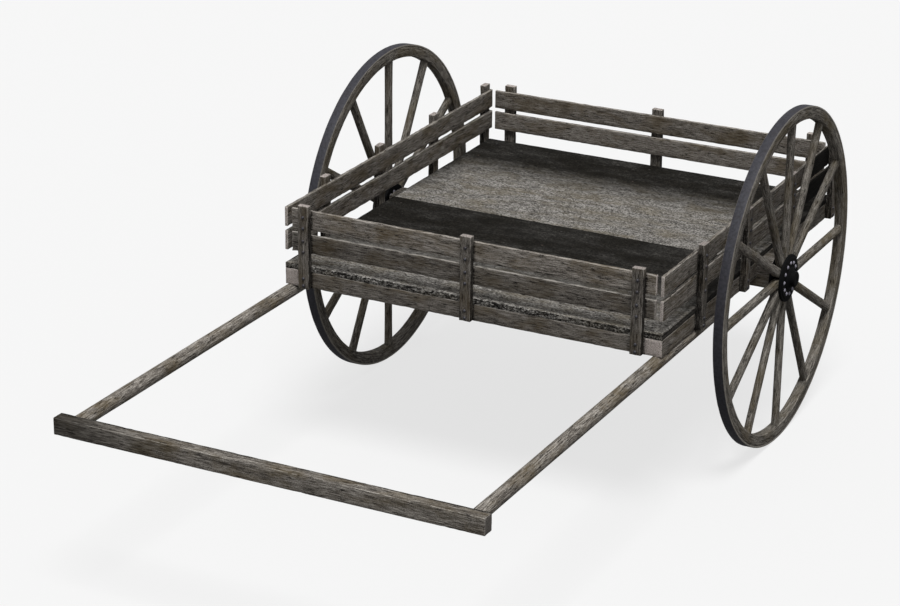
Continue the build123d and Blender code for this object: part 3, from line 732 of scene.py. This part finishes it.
def makeFelloes(side, centre):
    node = f"{side}_felloes"
    low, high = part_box(node)
    outer = (high[2] - low[2]) / 2
    inner = outer - wheel["felloeDepth"]
    left, right = low[0] - centre.x, high[0] - centre.x
    pitch = 2 * math.pi / wheel["felloes"]
    gapTurn = wheel["felloeGap"] / outer
    whole = bmesh.new()
    addMarks(whole)
    for number in range(wheel["felloes"]):
        pick = random.Random(f"{node}{number}")
        seed = pick.uniform(0, 50)
        part = spunRing([(left, inner), (right, inner), (right, outer), (left, outer)],
                        wheel["felloeRounding"], wheel["felloeSteps"], pitch - gapTurn)
        start = math.radians(wheel["firstJoint"]) + number * pitch + gapTurn / 2
        bmesh.ops.rotate(part, cent=(0, 0, 0), matrix=Matrix.Rotation(start, 3, "X"), verts=part.verts)
        layers = markWheel(part, left, right, seed, pick.uniform(0.42, 0.58), outer, inner,
                           seam=math.pi / 2 + start - wheel["seamAhead"])
        bmesh.ops.recalc_face_normals(part, faces=part.faces)
        pullIn(part, layers["wear"], 7.0, wheel)
        joinInto(whole, part)
    placeWheelPart(whole, centre)
    makePiece(f"{node}_wood", whole, "weatheredWheelAsh", f"{side}_wheel", [node])


# half width and half thickness of a spoke, and how square it is, at radii from the hub outwards
spokeSections = [
    (0.046, 0.0110, 0.0136, 5.0), (0.064, 0.0166, 0.0136, 5.0), (0.090, 0.0173, 0.0136, 5.0),
    (0.118, 0.0170, 0.0135, 3.0), (0.170, 0.0173, 0.0135, 2.3), (0.300, 0.0174, 0.0135, 2.2),
    (0.430, 0.0171, 0.0134, 2.2), (0.520, 0.0170, 0.0134, 2.4), (0.5636, 0.0173, 0.0135, 2.8),
]


def spokeSection(radius):
    for start, end in zip(spokeSections, spokeSections[1:]):
        if radius <= end[0]:
            share = (radius - start[0]) / (end[0] - start[0])
            share = share * share * (3 - 2 * share)
            return [a + (b - a) * share for a, b in zip(start[1:], end[1:])]
    return spokeSections[-1][1:]


def makeSpokes(side, centre):
    node = f"{side}_spokes"
    whole = bmesh.new()
    addMarks(whole)
    first, last = spokeSections[0][0], spokeSections[-1][0]
    for number in range(wheel["spokes"]):
        pick = random.Random(f"{node}{number}")
        seed, tintAndPaintedLight = pick.uniform(0, 50), pick.uniform(0.35, 0.65)
        part = bmesh.new()
        bmesh.ops.create_cone(part, cap_ends=True, segments=wheel["spokeSides"],
                              radius1=1, radius2=1, depth=last - first)
        bmesh.ops.translate(part, vec=(0, 0, (first + last) / 2), verts=part.verts)
        long = [edge for edge in part.edges if abs(edge.verts[0].co.z - edge.verts[1].co.z) > 0.1]
        bmesh.ops.subdivide_edges(part, edges=long, cuts=wheel["spokeRings"], use_grid_fill=True)
        layers = addMarks(part)
        for vert in part.verts:
            halfWidth, halfThickness, squareness = spokeSection(vert.co.z)
            turn = math.atan2(vert.co.y, vert.co.x)
            power = 2 / squareness
            vert.co.x = math.copysign(abs(math.cos(turn)) ** power, math.cos(turn)) * halfThickness
            vert.co.y = math.copysign(abs(math.sin(turn)) ** power, math.sin(turn)) * halfWidth
            vert[layers["grain"]] = Vector((vert.co.z + seed, vert.co.y + seed, vert.co.x))
            vert[layers["tintAndPaintedLight"]] = tintAndPaintedLight
            vert[layers["wear"]] = 0.25 + 0.35 * max(0.0, abs(math.cos(turn)) - 0.5)
        bmesh.ops.recalc_face_normals(part, faces=part.faces)
        pullIn(part, layers["wear"], seed, wheel)
        turn = Matrix.Rotation(number * 2 * math.pi / wheel["spokes"], 3, "X")
        bmesh.ops.rotate(part, cent=(0, 0, 0), matrix=turn, verts=part.verts)
        joinInto(whole, part)
    placeWheelPart(whole, centre)
    makePiece(f"{node}_wood", whole, "weatheredWheelAsh", f"{side}_wheel", [node])


# A round iron part from (distance outwards, radius) corners of its half section.
def turnedIron(side, node, centre, corners, nodes, rounding=None):
    sign = 1 if side == "right" else -1
    bm = spunRing([(sign * (x - abs(centre.x)), radius) for x, radius in corners],
                  hubIron["rounding"] if rounding is None else rounding, hubIron["steps"])
    layers = addMarks(bm)
    low, high = min(v.co.x for v in bm.verts), max(v.co.x for v in bm.verts)
    widest = max(math.hypot(v.co.y, v.co.z) for v in bm.verts)
    for vert in bm.verts:
        nearRim = 1 - (widest - math.hypot(vert.co.y, vert.co.z)) / hubIron["wearReach"]
        nearFace = 1 - min(vert.co.x - low, high - vert.co.x) / hubIron["wearReach"]
        vert[layers["wear"]] = max(0.0, min(nearRim, nearFace))
    placeWheelPart(bm, centre)
    makePiece(f"{side}_{node}_iron", bm, "blackCastIron", f"{side}_wheel", nodes)


def makeHub(side, centre):
    def outwards(node):
        low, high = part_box(f"{side}_{node}")
        near, far = sorted((abs(low[0]), abs(high[0])))
        return near, far, (high[2] - low[2]) / 2

    near, far, radius = outwards("outer_flange")
    nave = outwards("nave")[2] + hubIron["naveGap"]
    boss, step = radius - hubIron["bossWidth"], far - hubIron["bossHeight"]
    turnedIron(side, "outer_flange", centre, [
        (near, nave), (far, nave), (far, boss), (step, boss + hubIron["bossSlope"]),
        (step, radius), (near, radius)],
        [f"{side}_outer_flange"], 0.0009)
    near, far, radius = outwards("inner_flange")
    turnedIron(side, "inner_flange", centre, [(near, nave), (far, nave), (far, radius), (near, radius)],
               [f"{side}_inner_flange"])
    near, far, radius = outwards("hub_cap")
    seat, nose = hubIron["seat"], hubIron["nose"]
    bore, floor = nose - hubIron["noseWall"], near + hubIron["seatDepth"]
    turnedIron(side, "hub_cap", centre, [
        (near, seat), (near, radius), (near + 0.002, radius), (near + 0.008, nose + 0.002),
        (near + 0.011, nose), (far - 0.002, nose), (far, bore), (far, 0.012), (far - 0.0015, 0.009),
        (far - 0.0015, 0.0015), (far - 0.003, 0.0015), (far - 0.003, bore), (floor, bore), (floor, seat)],
        [f"{side}_hub_cap"], 0.0005)


for side in ("left", "right"):
    centre = hubCentre(side)
    makeTyre(side, centre)
    makeFelloes(side, centre)
    makeSpokes(side, centre)
    makeHub(side, centre)
print("wheels made")


cadFinishes = {
    "axle": "rustedAxleIron", "axle_clips": "rustedAxleIron", "axle_nuts": "rustedAxleIron",
    "frame_bolts": "rustedAxleIron", "post_screws": "dulledScrewSteel", "deck_nails": "rustedAxleIron",
    "left_nave": "blackCastIron", "right_nave": "blackCastIron",
    "left_hub_bolts": "zincPlatedBolt", "right_hub_bolts": "zincPlatedBolt",
}
for name, finish in cadFinishes.items():
    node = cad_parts[name]
    for place in range(len(node.material_slots)):
        node.material_slots[place].material = finishes[finish]


stage = {
    "floorSize": 60.0,
    "floorColour": "f6f6f6",
    "floorGlow": 0.8,  # share of the floor's white that doesn't take shadows
    "floorShade": 0.69,  # of the rest, so that it adds up to white under the sun and sky
    "skyAbove": 0.5, "skyBelow": 0.19,
    "sunStrength": 3.4, "sunAngle": 24, "sunFrom": (0.2, -0.3, 0.93),
}


def addStage():
    bm = bmesh.new()
    bmesh.ops.create_grid(bm, x_segments=1, y_segments=1, size=stage["floorSize"] / 2)
    mesh = bpy.data.meshes.new("floor")
    bm.to_mesh(mesh)
    bm.free()
    floor = bpy.data.objects.new("floor", mesh)
    bpy.context.scene.collection.objects.link(floor)
    # matt white studio floor
    material, tree, shader = startMaterial("paleStudioFloor")
    white = linear(stage["floorColour"])
    glow = stage["floorGlow"]
    shader.inputs["Base Color"].default_value = tuple(
        c * (1 - glow) * stage["floorShade"] for c in white[:3]) + (1,)
    shader.inputs["Roughness"].default_value = 1.0
    shader.inputs["Specular IOR Level"].default_value = 0.0
    shader.inputs["Emission Color"].default_value = white
    shader.inputs["Emission Strength"].default_value = glow
    mesh.materials.append(material)
    floor.visible_diffuse = False
    floor.visible_glossy = False

    world = bpy.data.worlds.new("softSky")
    world.use_nodes = True
    bpy.context.scene.world = world
    sky = world.node_tree
    direction = addNode(sky, "ShaderNodeTexCoord").outputs["Generated"]
    height = addNode(sky, "ShaderNodeSeparateXYZ", None, {"Vector": direction}).outputs["Z"]
    strength = addNode(sky, "ShaderNodeMapRange", None, {
        "Value": height, "From Min": -0.6, "From Max": 0.6,
        "To Min": stage["skyBelow"], "To Max": stage["skyAbove"]})
    sky.links.new(strength.outputs[0], sky.nodes["Background"].inputs["Strength"])
    sky.nodes["Background"].inputs["Color"].default_value = (1, 1, 1, 1)

    sun = bpy.data.objects.new("keyLight", bpy.data.lights.new("keyLight", "SUN"))
    sun.data.energy = stage["sunStrength"]
    sun.data.angle = math.radians(stage["sunAngle"])
    sun.rotation_euler = Vector(stage["sunFrom"]).to_track_quat("Z", "Y").to_euler()
    bpy.context.scene.collection.objects.link(sun)
    bpy.context.scene.view_settings.view_transform = "Standard"


addStage()
print("stage set")
